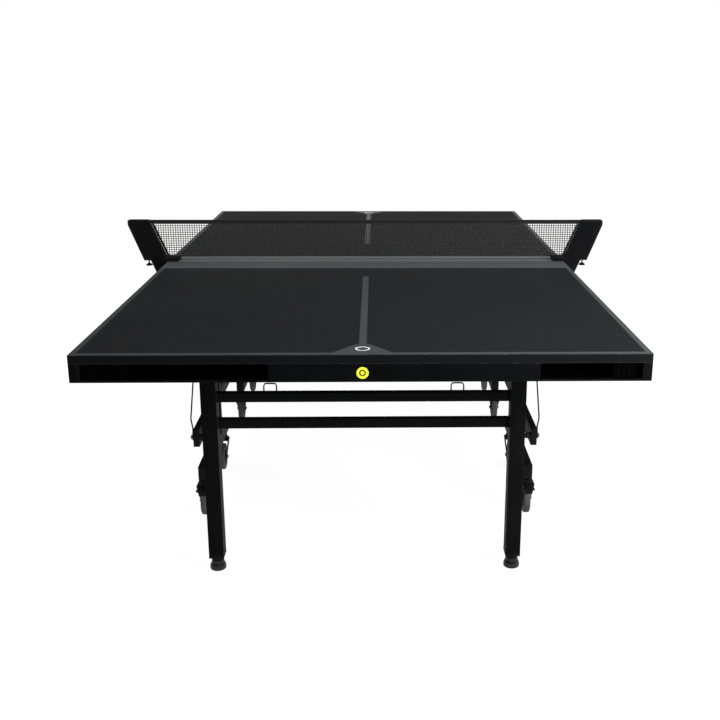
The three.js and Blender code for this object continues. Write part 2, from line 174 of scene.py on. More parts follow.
def playing_surface():
    """Matte charcoal paint with its lines, lightened on the far half as a painted sheen. Only the
    near half has the band beside the net.
    """
    s = Shader("playing_surface")
    parts = s.add("ShaderNodeSeparateXYZ", {"Vector": s.place}).outputs
    x = s.math("ABSOLUTE", parts[0])
    y = s.math("ABSOLUTE", parts[1])

    def over(value, edge):
        return s.math("GREATER_THAN", value, edge)

    def under(value, edge):
        return s.math("LESS_THAN", value, edge)

    def both(a, b):
        return s.math("MULTIPLY", a, b)

    def either(a, b):
        return s.math("MAXIMUM", a, b)

    top = over(parts[2], TOP - 0.0004)
    side_line = over(x, HALF_WIDTH - SIDE_LINE)
    end_line = over(y, HALF_LENGTH - END_LINE)
    centre = both(under(x, CENTRE_LINE_HALF), over(y, CENTRE_LINE_START))
    flare_start = HALF_LENGTH - FLARE["length"]
    flare_half = s.span(y, flare_start, HALF_LENGTH - END_LINE, FLARE["narrow"], FLARE["wide"])
    flare = both(under(x, flare_half), over(y, flare_start))
    lines = either(either(side_line, end_line), either(centre, flare))
    band = both(under(y, BAND), under(parts[1], 0.0))
    strip = under(y, PALE_STRIP)
    ring_at = s.math("SUBTRACT", y, HALF_LENGTH - RING["from_end"])
    from_centre = s.math("SQRT", s.math("ADD", both(x, x), both(ring_at, ring_at)))
    off_ring = s.math("ABSOLUTE", s.math("SUBTRACT", from_centre, RING["radius"]))
    ring = under(off_ring, RING["half_line"])

    cloud = s.noise(2.2, 5, 0.55)
    grain = s.noise(1400, 2, 0.6)
    mottle = s.math("ADD", s.math("MULTIPLY", cloud, 0.6), s.math("MULTIPLY", grain, 0.4))
    share = s.span(mottle, 0.35, 0.65, 0, 1)
    paint = s.mix(share, (0.0058, 0.0060, 0.0067, 1), (0.0076, 0.0079, 0.0086, 1))
    near_grey = s.mix(share, (0.032, 0.033, 0.035, 1), (0.040, 0.041, 0.043, 1))
    # Lines on the far half are painted lighter from 0.1 m to 0.5 m past the net: a painted sheen for
    # the brighter look they have at a grazing angle.
    far_line_painted_sheen = s.mix(share, (0.074, 0.075, 0.077, 1), (0.088, 0.089, 0.091, 1))
    grey = s.mix(s.span(parts[1], 0.1, 0.5, 0, 1), near_grey, far_line_painted_sheen)
    mid = s.mix(share, (0.045, 0.046, 0.048, 1), (0.055, 0.056, 0.058, 1))
    pale = s.mix(share, (0.095, 0.096, 0.097, 1), (0.115, 0.116, 0.117, 1))
    white = s.mix(share, (0.55, 0.55, 0.55, 1), (0.66, 0.66, 0.65, 1))
    edge = s.mix(share, (0.0030, 0.0031, 0.0036, 1), (0.0044, 0.0046, 0.0052, 1))
    colour = s.mix(lines, paint, grey)
    colour = s.mix(band, colour, mid)
    colour = s.mix(strip, colour, pale)
    colour = s.mix(ring, colour, white)
    colour = s.mix(top, edge, colour)
    s.set(Base_Color=colour, Specular_IOR_Level=0.07)
    s.set(Roughness=s.span(s.noise(6, 6, 0.7), 0.3, 0.7, 0.55, 0.66))
    s.bump(grain, 0.00005)
    return s.material


def woven(name, dark, light, pitch, lift=0.0002):
    """A woven band: threads both ways, from two wave patterns."""
    s = Shader(name)
    turn = math.radians(45)
    across = s.add("ShaderNodeMapping", {"Vector": s.place, "Rotation": (0, turn, 0)}).outputs[0]
    waves = []
    for direction in ("X", "Z"):
        inputs = {"Vector": across, "Scale": 1 / pitch / 20, "Distortion": 0.4, "Detail": 1.0}
        waves.append(s.add("ShaderNodeTexWave", inputs, bands_direction=direction).outputs["Fac"])
    thread = s.math("MAXIMUM", *waves)
    wear = s.noise(40, 4, 0.6)
    share = s.math("MULTIPLY", thread, s.span(wear, 0.3, 0.7, 0.6, 1.0))
    s.set(Base_Color=s.mix(share, rgb(dark), rgb(light)))
    s.set(Roughness=s.span(wear, 0.3, 0.7, 0.78, 0.92))
    s.set(Specular_IOR_Level=0.15, Sheen_Weight=0.08, Sheen_Roughness=0.5)
    s.bump(thread, lift, 0.6)
    return s.material


def metal(name, dark, light, rough):
    """Plated steel: fine grain with spots of dull plating."""
    s = Shader(name)
    grain = s.noise(260, 3, 0.6)
    spots = s.noise(35, 5, 0.7)
    share = s.math("MULTIPLY", grain, s.span(spots, 0.35, 0.65, 0.5, 1.2), clamp=True)
    s.set(Base_Color=s.mix(share, rgb(dark), rgb(light)), Metallic=0.85)
    s.set(Roughness=s.span(spots, 0.3, 0.7, rough - 0.06, rough + 0.12))
    s.bump(grain, 0.00002)
    return s.material


def enamel():
    """Yellow enamel, a little cloudy, with a fine gloss ripple."""
    s = Shader("badge_enamel")
    cloud = s.noise(120, 4, 0.6)
    share = s.span(cloud, 0.3, 0.7, 0, 1)
    s.set(Base_Color=s.mix(share, (0.60, 0.58, 0.022, 1), (0.72, 0.71, 0.035, 1)))
    s.set(Roughness=s.span(cloud, 0.3, 0.7, 0.28, 0.40), Specular_IOR_Level=0.4)
    s.bump(s.noise(400, 2), 0.00003)
    return s.material


POWDER = coated("powder_coat", 0.0020, 0.0034, 0.46, 0.045, tint=COOL)
POWDER_EDGE = edge_worn("powder_coat_edge", 0.0045, 0.016, 0.40, 0.12, COOL)
APRON = coated("apron_coat", 0.0017, 0.0031, 0.55, 0.03, tint=(0.9, 0.95, 1.15))
APRON_EDGE = edge_worn("apron_coat_edge", 0.002, 0.007, 0.48, 0.06, COOL)
BOARD = playing_surface()
BOARD_EDGE = edge_worn("board_edge", 0.014, 0.032, 0.50, 0.1, COOL)
CAST = coated("cast_black", 0.0032, 0.0052, 0.42, 0.055, grain=900, tint=(0.95, 0.97, 1.1))
CAST_EDGE = edge_worn("cast_black_edge", 0.006, 0.018, 0.38, 0.14, COOL)
# Near-black colour for the end rail's faces inside the pocket mouths: painted shade.
POCKET_PAINTED_SHADE = coated("pocket_painted_shade", 0.0006, 0.0012, 0.70, 0.02, grain=900, tint=COOL)
# Rib colour, far darker than the black plastic: painted shade on the ribs beside the pocket mouths.
RIB_PAINTED_SHADE = coated("rib_painted_shade", 0.0004, 0.0009, 0.70, 0.02, grain=500, depth=0.00008)
PLASTIC = coated("black_plastic", 0.0022, 0.0045, 0.42, 0.12, grain=700, depth=0.00006)
RUBBER = coated("rubber", 0.0060, 0.0120, 0.70, 0.20, grain=500, depth=0.00012)
TYRE = coated("grey_tyre", 0.034, 0.072, 0.50, 0.30, grain=350, depth=0.00008)
FOOT = coated("foot_rubber", 0.0030, 0.0070, 0.26, 0.60, grain=500, depth=0.00010)
HUB = coated("wheel_hub", 0.030, 0.050, 0.45, 0.30, grain=500, depth=0.00005)
ZINC = metal("zinc_steel", 0.16, 0.42, 0.34)
DARK_STEEL = metal("dark_steel", 0.020, 0.060, 0.42)
CORD = woven("net_cord", 0.0120, 0.0340, 0.0006)
BAND_CLOTH = woven("net_band", 0.0068, 0.0155, 0.0012, 0.0003)
STITCH = woven("stitch_thread", 0.020, 0.045, 0.0005)
PALE_CORD = woven("pale_cord", 0.22, 0.42, 0.0008)
YELLOW = enamel()


# ---------------------------------------------------------------- mesh helpers


def finish_mesh(bm, name, body, materials, smooth=35.0):
    """Makes a piece of a bmesh that is in world metres, riding on a body."""
    bmesh.ops.recalc_face_normals(bm, faces=bm.faces)
    mesh = bpy.data.meshes.new(name)
    bm.to_mesh(mesh)
    bm.free()
    for material in materials:
        mesh.materials.append(material)
    mesh.shade_smooth()
    mesh.set_sharp_from_angle(angle=math.radians(smooth))
    piece = bpy.data.objects.new(name, mesh)
    SCENE.collection.objects.link(piece)
    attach(piece, body)
    return piece


def hard_edges(bm, least=30.0):
    limit = math.radians(least)
    return [e for e in bm.edges if len(e.link_faces) == 2 and e.calc_face_angle(0.0) > limit]


def round_edges(bm, width, segments=2, material=-1, least=30.0):
    """Rounds the hard edges. The rounded faces take a material slot of their own if one is given."""
    bmesh.ops.bevel(
        bm, geom=hard_edges(bm, least), offset=width, offset_type="OFFSET", segments=segments,
        profile=0.5, affect="EDGES", clamp_overlap=True, material=material,
    )


def refine(node, body, width, materials, segments=2):
    """Replaces a CAD node by a copy whose flat faces are merged and whose hard edges are rounded."""
    bm = bmesh.new()
    bm.from_mesh(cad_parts[node].data)
    bmesh.ops.remove_doubles(bm, verts=bm.verts, dist=1e-5)
    bmesh.ops.dissolve_limit(bm, angle_limit=math.radians(1.0), verts=bm.verts, edges=bm.edges)
    for face in bm.faces:
        face.material_index = 0
    round_edges(bm, width, segments, 1 if len(materials) > 1 else -1)
    piece = finish_mesh(bm, f"{node}_finished", body, materials)
    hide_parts(node)
    return piece


def joined(*parts):
    """One bmesh from several, which are freed."""
    whole = bmesh.new()
    scratch = bpy.data.meshes.new("scratch")
    for part in parts:
        part.to_mesh(scratch)
        part.free()
        whole.from_mesh(scratch)
    bpy.data.meshes.remove(scratch)
    return whole


def block(lo, hi, width, segments=2):
    """A box between two corners with rounded edges."""
    bm = bmesh.new()
    size = [abs(b - a) for a, b in zip(lo, hi)]
    middle = [(a + b) / 2 for a, b in zip(lo, hi)]
    place = Matrix.Translation(middle) @ Matrix.Diagonal((*size, 1))
    bmesh.ops.create_cube(bm, size=1.0, matrix=place)
    round_edges(bm, width, segments)
    return bm


def lathe(profile, place, steps=40):
    """Turns (radius, height) points about Z, then puts the result at `place`."""
    bm = bmesh.new()
    rings = []
    for radius, height in profile:
        ring = []
        for i in range(steps):
            angle = 2 * math.pi * i / steps
            point = (radius * math.cos(angle), radius * math.sin(angle), height)
            ring.append(bm.verts.new(point))
        rings.append(ring)
    for low, high in zip(rings, rings[1:]):
        for i in range(steps):
            j = (i + 1) % steps
            bm.faces.new((low[i], low[j], high[j], high[i]))
    is_open = profile[0] != profile[-1]
    if is_open and profile[0][0] > 0:
        bm.faces.new(list(reversed(rings[0])))
    if is_open and profile[-1][0] > 0:
        bm.faces.new(rings[-1])
    bmesh.ops.remove_doubles(bm, verts=bm.verts, dist=1e-7)
    bmesh.ops.transform(bm, matrix=place, verts=bm.verts)
    return bm


def prism(outline, thickness, place, width=0.0, segments=2):
    """Extrudes an outline in XY over a thickness centred on Z = 0, then puts it at `place`."""
    bm = bmesh.new()
    low = [bm.verts.new((u, v, -thickness / 2)) for u, v in outline]
    high = [bm.verts.new((u, v, thickness / 2)) for u, v in outline]
    bm.faces.new(list(reversed(low)))
    bm.faces.new(high)
    for i in range(len(outline)):
        j = (i + 1) % len(outline)
        bm.faces.new((low[i], low[j], high[j], high[i]))
    bmesh.ops.recalc_face_normals(bm, faces=bm.faces)
    if width:
        round_edges(bm, width, segments, least=20.0)
    bmesh.ops.transform(bm, matrix=place, verts=bm.verts)
    return bm


def sweep(points, radius, sides=12, closed=False):
    """A round tube along points. The radius is a number or a function of the point's index."""
    at = [Vector(p) for p in points]
    count = len(at)
    size = radius if callable(radius) else (lambda i: radius)
    bm = bmesh.new()
    side = None
    rings = []
    for i, point in enumerate(at):
        before = at[i - 1] if i or closed else at[i]
        after = at[(i + 1) % count] if i + 1 < count or closed else at[i]
        along = (after - before).normalized()
        side = along.orthogonal() if side is None else side - along * side.dot(along)
        side.normalize()
        up = along.cross(side)
        ring = []
        for k in range(sides):
            angle = 2 * math.pi * k / sides
            offset = side * math.cos(angle) + up * math.sin(angle)
            ring.append(bm.verts.new(point + offset * size(i)))
        rings.append(ring)
    pairs = list(zip(rings, rings[1:])) + ([(rings[-1], rings[0])] if closed else [])
    for low, high in pairs:
        for k in range(sides):
            m = (k + 1) % sides
            bm.faces.new((low[k], low[m], high[m], high[k]))
    if not closed:
        bm.faces.new(list(reversed(rings[0])))
        bm.faces.new(rings[-1])
    return bm


def rounded_path(corners, bend, steps=6):
    """The corners of a path with each one but the ends turned into a curve."""
    at = [Vector(c) for c in corners]
    path = [at[0]]
    for before, corner, after in zip(at, at[1:], at[2:]):
        a = corner + (before - corner).normalized() * bend
        b = corner + (after - corner).normalized() * bend
        for i in range(steps + 1):
            t = i / steps
            path.append(a * (1 - t) ** 2 + corner * 2 * t * (1 - t) + b * t * t)
    path.append(at[-1])
    return path


def circle(radius, count=24):
    return [
        (radius * math.cos(2 * math.pi * i / count), radius * math.sin(2 * math.pi * i / count))
        for i in range(count)
    ]


def along_x(x, y, z, side=1):
    """Turns +Z to +X or -X, and moves to a point."""
    return Matrix.Translation((x, y, z)) @ Matrix.Rotation(side * math.pi / 2, 4, "Y")


def upright(x, y, z):
    return Matrix.Translation((x, y, z))


def hexagon_head(place, across, height):
    """A bolt head with chamfered corners, from its underside up, on a thin washer."""
    washer_height = 0.0014
    washer = lathe([
        (0, 0), (across * 0.78, 0), (across * 0.80, 0.0006), (across * 0.76, washer_height),
        (0, washer_height),
    ], place, 28)
    corner = across * 0.577
    flat = [(corner * u, corner * v) for u, v in circle(1.0, 6)]
    lift = Matrix.Translation((0, 0, washer_height + height / 2))
    head = prism(flat, height, place @ lift, 0.0005)
    return joined(washer, head)


def threaded_stem(place, heights, radii, pitch, steps):
    """A closed stem turned about Z, with a pointed thread."""
    bottom, thread_end, tip = heights
    crest, root = radii
    profile = [(0, bottom)]
    z = bottom
    while z < thread_end:
        profile += [(crest, z), (root, z + pitch / 2)]
        z += pitch
    profile += [(0, tip)]
    return lathe(profile, place, steps)


# ---------------------------------------------------------------- pieces


ENDS = (("near", -1), ("far", 1))
SIDES = (("left", -1), ("right", 1))


# How far behind the end rail's front the painted shade inside the pocket mouths starts.
RAIL_INSIDE = 0.010


def tops():
    """The boards and the steel under them. The end rail is painted darker inside its pocket mouths,
    as painted shade.
    """
    for end, sy in ENDS:
        body = f"{end}_top"
        refine(f"{end}_board", body, 0.0012, [BOARD, BOARD_EDGE], 3)
        rail = refine(f"{end}_end_rail", body, 0.0010, [APRON, APRON_EDGE, POCKET_PAINTED_SHADE])
        # Faces behind the rail's front take the near-black colour: painted shade in the pocket
        # mouths.
        for face in rail.data.polygons:
            if abs(face.center.y) < HALF_LENGTH - RAIL_INSIDE:
                face.material_index = 2
        refine(f"{end}_seam_rail", body, 0.0012, [APRON, APRON_EDGE])
        refine(f"{end}_leg_bearer", body, 0.0010, [POWDER, POWDER_EDGE])
        refine(f"{end}_fold_bar", body, 0.0010, [POWDER, POWDER_EDGE])
        for side, sx in SIDES:
            refine(f"{end}_{side}_apron_rail", body, 0.0012, [APRON, APRON_EDGE])
            pocket_ribs(end, side, sx, sy)


RIB_PITCH = 0.0135
RIB_HEIGHT = 0.0014
RIB_LENGTH = 0.0420
RIB_MIDDLE = 0.7125
RIB_SUNK = 0.0002


def pocket_ribs(end, side, sx, sy):
    """Low upright ribs on the panel beside a pocket's mouth. The bat pocket is left from outside."""
    inner = (BAT_POCKET_OUTER if sx * sy > 0 else BALL_POCKET_OUTER) + 0.004
    outer = HALF_WIDTH - SIDE_RAIL - 0.003
    face = HALF_LENGTH - PANEL_SETBACK - RIB_SUNK
    count = round((outer - inner) / RIB_PITCH)
    pitch = (outer - inner) / count
    angles = [math.pi * k / 10 for k in range(11)]
    outline = [(pitch * 0.42 * math.cos(a), RIB_HEIGHT * math.sin(a)) for a in angles]
    parts = []
    for i in range(count):
        x = inner + pitch * (i + 0.5)
        place = Matrix((
            (1, 0, 0, sx * x), (0, sy, 0, sy * face), (0, 0, 1, RIB_MIDDLE), (0, 0, 0, 1),
        ))
        parts.append(prism(outline, RIB_LENGTH, place, 0.0004))
    name = f"{end}_{side}_pocket_ribs"
    # The ribs take the near-black rib colour: painted shade.
    finish_mesh(joined(*parts), name, f"{end}_top", [RIB_PAINTED_SHADE], 50)


def badge():
    """A plain disc with a raised rim and a dark raised ring, in the middle of the near end rail."""
    sunk = 0.0017
    middle = (0, sunk - HALF_LENGTH, (APRON_BOTTOM + APRON_TOP) / 2)
    place = Matrix.Translation(middle) @ Matrix.Rotation(math.pi / 2, 4, "X")
    disc = [
        (0, 0), (0.0158, 0), (0.0160, 0.0004), (0.0160, 0.0013), (0.0154, 0.0017),
        (0.0142, 0.0017), (0.0136, 0.0010), (0, 0.0010),
    ]
    plate = lathe(disc, place, 64)
    piece = finish_mesh(plate, "near_badge_plate", "near_top", [YELLOW])
    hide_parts("near_badge")
    ring = [
        (0.0088, 0.0009), (0.0088, 0.0013), (0.0082, 0.0015), (0.0062, 0.0015),
        (0.0056, 0.0013), (0.0056, 0.0009), (0.0088, 0.0009),
    ]
    band = lathe(ring, place, 48)
    finish_mesh(band, "near_badge_ring", "near_top", [DARK_STEEL])


def weld_bead(corners, radius=0.0016):
    """A rippled bead round a closed four-cornered joint."""
    at = [Vector(c) for c in corners]
    path = []
    for a, b in zip(at, at[1:] + at[:1]):
        count = max(4, int((b - a).length / radius))
        path += [a.lerp(b, i / count) for i in range(count)]

    def ripple(i):
        return radius * (1 + 0.22 * math.sin(i * math.pi / 1.5))

    return sweep(path, ripple, 8, closed=True)


def legs():
    for end, sy in ENDS:
        body = f"{end}_legs"
        refine(f"{end}_leg_frame", body, 0.0022, [POWDER, POWDER_EDGE], 3)
        beads = []
        for side, sx in SIDES:
            x = sx * (LEG_X - LEG_HALF - 0.0004)
            y = sy * LEG_Y
            h = CROSSBAR_HALF
            for z in CROSSBARS:
                corners = [(x, y - h, z - h), (x, y + h, z - h), (x, y + h, z + h), (x, y - h, z + h)]
                beads.append(weld_bead(corners))
            cap = block(
                (sx * LEG_X - 0.0232, y - 0.0257, LEG_BOTTOM + 0.0004),
                (sx * LEG_X + 0.0232, y + 0.0257, LEG_BOTTOM + 0.0064), 0.0018, 3,
            )
            finish_mesh(cap, f"{end}_{side}_leg_cap", body, [PLASTIC])
            foot(end, side, sx, sy)
        finish_mesh(joined(*beads), f"{end}_leg_welds", body, [POWDER_EDGE])


def foot(end, side, sx, sy):
    """A moulded rubber pad with rings round its base, under a collar and a threaded stem."""
    body = f"{end}_{side}_foot"
    place = upright(sx * LEG_X, sy * LEG_Y, 0)
    pad = [
        (0, 0), (0.0190, 0), (0.0226, 0.0008), (0.0243, 0.0030), (0.0246, 0.0060), (0.0246, 0.0100),
        (0.0240, 0.0112), (0.0243, 0.0124), (0.0238, 0.0150), (0.0214, 0.0205), (0.0196, 0.0240),
        (0.0190, 0.0262), (0.0190, 0.0300), (0.0184, 0.0310), (0, 0.0310),
    ]
    piece = finish_mesh(lathe(pad, place, 48), f"{body}_pad", body, [FOOT])
    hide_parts(f"{end}_{side}_levelling_foot")
    collar = [
        (0, 0.0305), (0.0176, 0.0305), (0.0182, 0.0312), (0.0182, 0.0424), (0.0176, 0.0433),
        (0, 0.0433),
    ]
    finish_mesh(lathe(collar, place, 36), f"{body}_collar", body, [PLASTIC])
    stem = threaded_stem(place, (0.0425, 0.0735, 0.0740), (0.0050, 0.0044), 0.0016, 24)
    finish_mesh(stem, f"{body}_stem", body, [ZINC])


def undercarriage():
    coat = [POWDER, POWDER_EDGE]
    for end, sy in ENDS:
        refine(f"{end}_cross_tube", "chassis", 0.0020, coat, 3)
        for side, sx in SIDES:
            refine(f"{end}_{side}_wheel_frame", "chassis", 0.0018, coat, 3)
            caps(end, side, sx, sy)
            catch_rod(end, side, sx, sy)
    for side, _ in SIDES:
        refine(f"{side}_side_rail", "chassis", 0.0018, coat, 3)
    refine("net_beam", "chassis", 0.0015, coat, 3)


def caps(end, side, sx, sy):
    """Plastic plugs in the open ends of the rails, the rail's bolt and stop, and the fold's bolt."""
    name = f"{end}_{side}"
    plug = RAIL_END + 0.0020
    lower = block((sx * 0.5325, sy * plug, 0.1395), (sx * 0.5635, sy * RAIL_END, 0.1905), 0.0009)
    inner = block((sx * 0.5325, sy * 0.2330, 0.1395), (sx * 0.5635, sy * 0.2348, 0.1905), 0.0008)
    upper = block((sx * 0.5525, sy * plug, 0.2615), (sx * 0.5735, sy * RAIL_END, 0.3215), 0.0009)
    plugs = joined(lower, inner, upper)
    finish_mesh(plugs, f"{name}_rail_plugs", "chassis", [PLASTIC])
    bolt_y, bolt_z = RAIL_BOLT
    head = hexagon_head(along_x(sx * 0.5764, sy * bolt_y, bolt_z, sx), 0.0140, 0.0050)
    finish_mesh(head, f"{name}_rail_bolt", "chassis", [ZINC])
    stop = [
        (0, 0), (0.0096, 0), (0.0100, 0.0006), (0.0100, 0.0120), (0.0094, 0.0150),
        (0.0080, 0.0176), (0.0050, 0.0188), (0, 0.0190),
    ]
    stopper = lathe(stop, along_x(sx * 0.5530, sy * bolt_y, bolt_z, -sx), 32)
    finish_mesh(stopper, f"{name}_rail_stop", "chassis", [RUBBER])
    fold_y, fold_z = FOLD_PIVOT
    pin = hexagon_head(along_x(sx * 0.5600, sy * fold_y, fold_z, sx), 0.0150, 0.0050)
    finish_mesh(pin, f"{name}_fold_bolt", f"{end}_top", [ZINC])


def catch_rod(end, side, sx, sy):
    """A bent wire with an eye coiled round the bolt and a rubber sleeve on its hooked end."""
    body = f"{end}_{side}_catch"
    low, high = 0.5762, 0.581
    bolt_y, bolt_z = RAIL_BOLT
    eye_x, eye_radius, eye_turns, steps = 0.5752, 0.0068, 1.25, 30
    eye = []
    for i in range(steps + 1):
        angle = -math.pi / 2 + 2 * math.pi * eye_turns * i / steps
        y = bolt_y + eye_radius * math.sin(angle)
        eye.append((sx * eye_x, sy * y, bolt_z + eye_radius * math.cos(angle)))
    path = [
        (low, 0.721, 0.2995), (low, 0.712, 0.319), (high, 0.717, 0.352), (high, 0.488, 0.671),
        (high - 0.020, 0.480, 0.674),
    ]
    rod = rounded_path([(sx * x, sy * y, z) for x, y, z in path], 0.009, 8)
    wire = joined(sweep(rod, 0.0025, 14), sweep(eye, 0.0017, 12))
    piece = finish_mesh(wire, f"{body}_wire", body, [DARK_STEEL], 60)
    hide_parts(f"{body}_rod")
    tip = [(sx * (high - 0.006), sy * 0.4824, 0.6731), (sx * (high - 0.0205), sy * 0.4798, 0.6741)]
    finish_mesh(sweep(tip, 0.0036, 14), f"{body}_tip", body, [RUBBER])


def wheel(name, x, y):
    """A tyre with two shallow tread grooves on a hub with six ribs on each face."""
    body = f"{name}_roller"
    place = along_x(x, y, WHEEL_RADIUS)
    half = WHEEL_HALF
    r = WHEEL_RADIUS
    flank = [
        (0.0345, -half + 0.0012), (0.0400, -half), (0.0455, -half + 0.0002),
        (0.0478, -half + 0.0012), (0.0492, -half + 0.0030), (r - 0.0002, -half + 0.0052),
    ]
    tyre = list(flank)
    for z in (-0.0034, 0.0034):
        floor = r - 0.0010
        tyre += [(r, z - 0.0009), (floor, z - 0.0004), (floor, z + 0.0004), (r, z + 0.0009)]
    tyre += [(a, -b) for a, b in reversed(flank)] + [flank[0]]
    piece = finish_mesh(lathe(tyre, place, 72), f"{name}_tyre", body, [TYRE])
    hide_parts(f"{name}_wheel")
    hub = [
        (0.0044, -half + 0.0004), (0.0110, -half + 0.0004), (0.0118, -half + 0.0012),
        (0.0118, -half + 0.0040), (0.0300, -half + 0.0040), (0.0312, -half + 0.0030),
        (0.0350, -half + 0.0022),
    ]
    hub = hub + [(a, -b) for a, b in reversed(hub)] + [hub[0]]
    parts = [lathe(hub, place, 48)]
    for i in range(6):
        turn = place @ Matrix.Rotation(math.pi * i / 3, 4, "Z")
        for face in (-1, 1):
            low, high = face * (half - 0.0052), face * (half - 0.0018)
            rib = block((0.0112, -0.0013, low), (0.0318, 0.0013, high), 0.0006)
            bmesh.ops.transform(rib, matrix=turn, verts=rib.verts)
            parts.append(rib)
    finish_mesh(joined(*parts), f"{name}_hub", body, [HUB])


FORK_SPLAY = 0.11
SPLAY_FOOT = 0.039
SPLAY_HEAD = 0.118
CHEEK = 0.0025
CHEEK_HUB = 0.0112


def fork(name, x, stem, axle):
    """A moulded fork: a turned head, two splayed cheeks with raised hubs, and a bridge on top."""
    body = f"{name}_caster"
    trail = 1 if axle > stem else -1
    back = abs(axle - stem)
    head = [
        (0, 0.1160), (0.0186, 0.1160), (0.0190, 0.1166), (0.0190, 0.1240), (0.0184, 0.1250),
        (0.0168, 0.1256), (0.0166, 0.1290), (0.0150, 0.1310), (0.0120, 0.1330), (0.0096, 0.1360),
        (0.0092, 0.1397), (0, 0.1397),
    ]
    parts = [lathe(head, upright(x, stem, 0), 40)]
    inside = WHEEL_HALF + 0.0008
    lean = FORK_SPLAY * (SPLAY_HEAD - SPLAY_FOOT)
    angles = [math.pi * (1.0 + i / 12) for i in range(13)]
    hub = [(back + CHEEK_HUB * math.cos(a), WHEEL_RADIUS + CHEEK_HUB * math.sin(a)) for a in angles]
    front = [(-0.0160, 0.1170), (-0.0160, 0.1000), (-0.0120, 0.0880), (back - CHEEK_HUB, 0.0560)]
    rear = [(back + CHEEK_HUB, 0.0600), (0.0285, 0.0900), (0.0262, 0.1170)]
    outline = front + hub + rear
    rim = [
        (0.0064, 0), (0.0108, 0), (0.0112, 0.0005), (0.0108, 0.0014), (0.0068, 0.0018),
        (0.0064, 0.0014), (0.0064, 0),
    ]
    for side in (-1, 1):
        splay = side * FORK_SPLAY
        foot_x = x + side * (inside + CHEEK / 2) - splay * SPLAY_FOOT
        place = Matrix.Translation((foot_x, stem, 0)) @ Matrix((
            (0, splay, 1, 0), (trail, 0, 0, 0), (0, 1, 0, 0), (0, 0, 0, 1),
        ))
        parts.append(prism(outline, CHEEK, place, 0.0007))
        rim_place = along_x(x + side * (inside + 0.0034), axle, WHEEL_RADIUS, side)
        parts.append(lathe(rim, rim_place, 32))
    lo = (x - inside - CHEEK - lean, stem - trail * 0.0162, 0.1120)
    hi = (x + inside + CHEEK + lean, stem + trail * 0.0264, 0.1172)
    parts.append(block(lo, hi, 0.0012))
    piece = finish_mesh(joined(*parts), f"{name}_fork_moulding", body, [PLASTIC])
    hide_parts(f"{name}_fork")
    nuts = []
    for side in (-1, 1):
        nut_place = along_x(x + side * (inside + 0.0040), axle, WHEEL_RADIUS, side)
        nuts.append(hexagon_head(nut_place, 0.0110, 0.0034))
    half, radius = 0.0150, 0.0040
    bar = [(0, -half), (radius, -half), (radius, half), (0, half)]
    axle_bar = lathe(bar, along_x(x, axle, WHEEL_RADIUS), 20)
    finish_mesh(joined(axle_bar, *nuts), f"{name}_axle", body, [ZINC])


PEDAL_HEEL = 0.0175
PEDAL_SLOPE = -0.0045 / 0.0275
PEDAL_MIDDLE_Z = 0.1132
PEDAL_TOP_Z = 0.1154


def pedal(name, x, stem, sy):
    """A flared tread with grip ribs across it, over a narrower web."""
    place = Matrix.Translation((x, stem, 0))
    turn = Matrix(((0, 0, 1, 0), (sy, 0, 0, 0), (0, 1, 0, 0), (0, 0, 0, 1)))
    web = [
        (0.0180, 0.1140), (0.0440, 0.1090), (0.0450, 0.0950), (0.0440, 0.0930), (0.0415, 0.0920),
        (0.0310, 0.1030), (0.0180, 0.1070),
    ]
    parts = [prism(web, 0.024, place @ turn, 0.0012)]
    plan = [
        (-0.0130, PEDAL_HEEL), (-0.0213, 0.0420), (-0.0190, 0.0468), (0.0190, 0.0468),
        (0.0213, 0.0420), (0.0130, PEDAL_HEEL),
    ]
    tread = prism([(u, sy * v) for u, v in plan], 0.0044, Matrix.Identity(4), 0.0014, 3)
    for vert in tread.verts:
        vert.co.z += PEDAL_MIDDLE_Z + PEDAL_SLOPE * (abs(vert.co.y) - PEDAL_HEEL)
    bmesh.ops.transform(tread, matrix=place, verts=tread.verts)
    parts.append(tread)
    for i in range(4):
        y = 0.0250 + 0.0056 * i
        half = 0.0098 + 0.28 * (y - PEDAL_HEEL)
        rib = block((-half, -0.0009, -0.0006), (half, 0.0009, 0.0008), 0.0004)
        z = PEDAL_TOP_Z + PEDAL_SLOPE * (y - PEDAL_HEEL)
        bmesh.ops.transform(rib, matrix=Matrix.Translation((x, stem + sy * y, z)), verts=rib.verts)
        parts.append(rib)
    mesh = joined(*parts)
    piece = finish_mesh(mesh, f"{name}_brake_tread", f"{name}_brake", [PLASTIC])
    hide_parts(f"{name}_brake_pedal")


def casters():
    for end, sy in ENDS:
        for side, sx in SIDES:
            x = sx * CASTER_X
            for place, (stem, axle) in (("outer", OUTER_CASTER), ("inner", INNER_CASTER)):
                name = f"{end}_{side}_{place}"
                fork(name, x, sy * stem, sy * axle)
                wheel(name, x, sy * axle)
            pedal(f"{end}_{side}", x, sy * OUTER_CASTER[0], sy)


# ---------------------------------------------------------------- net


POST_FOOT = 0.776
POST_SLOPE = (0.835 - POST_FOOT) / (NET_TOP - NET_LOW)
POST_RING = (0.8500, 0.0108, 0.838)


def post_inner(z):
    """How far from the middle the post's slanted inner face is at a height."""
    return POST_FOOT + POST_SLOPE * (z - NET_LOW)


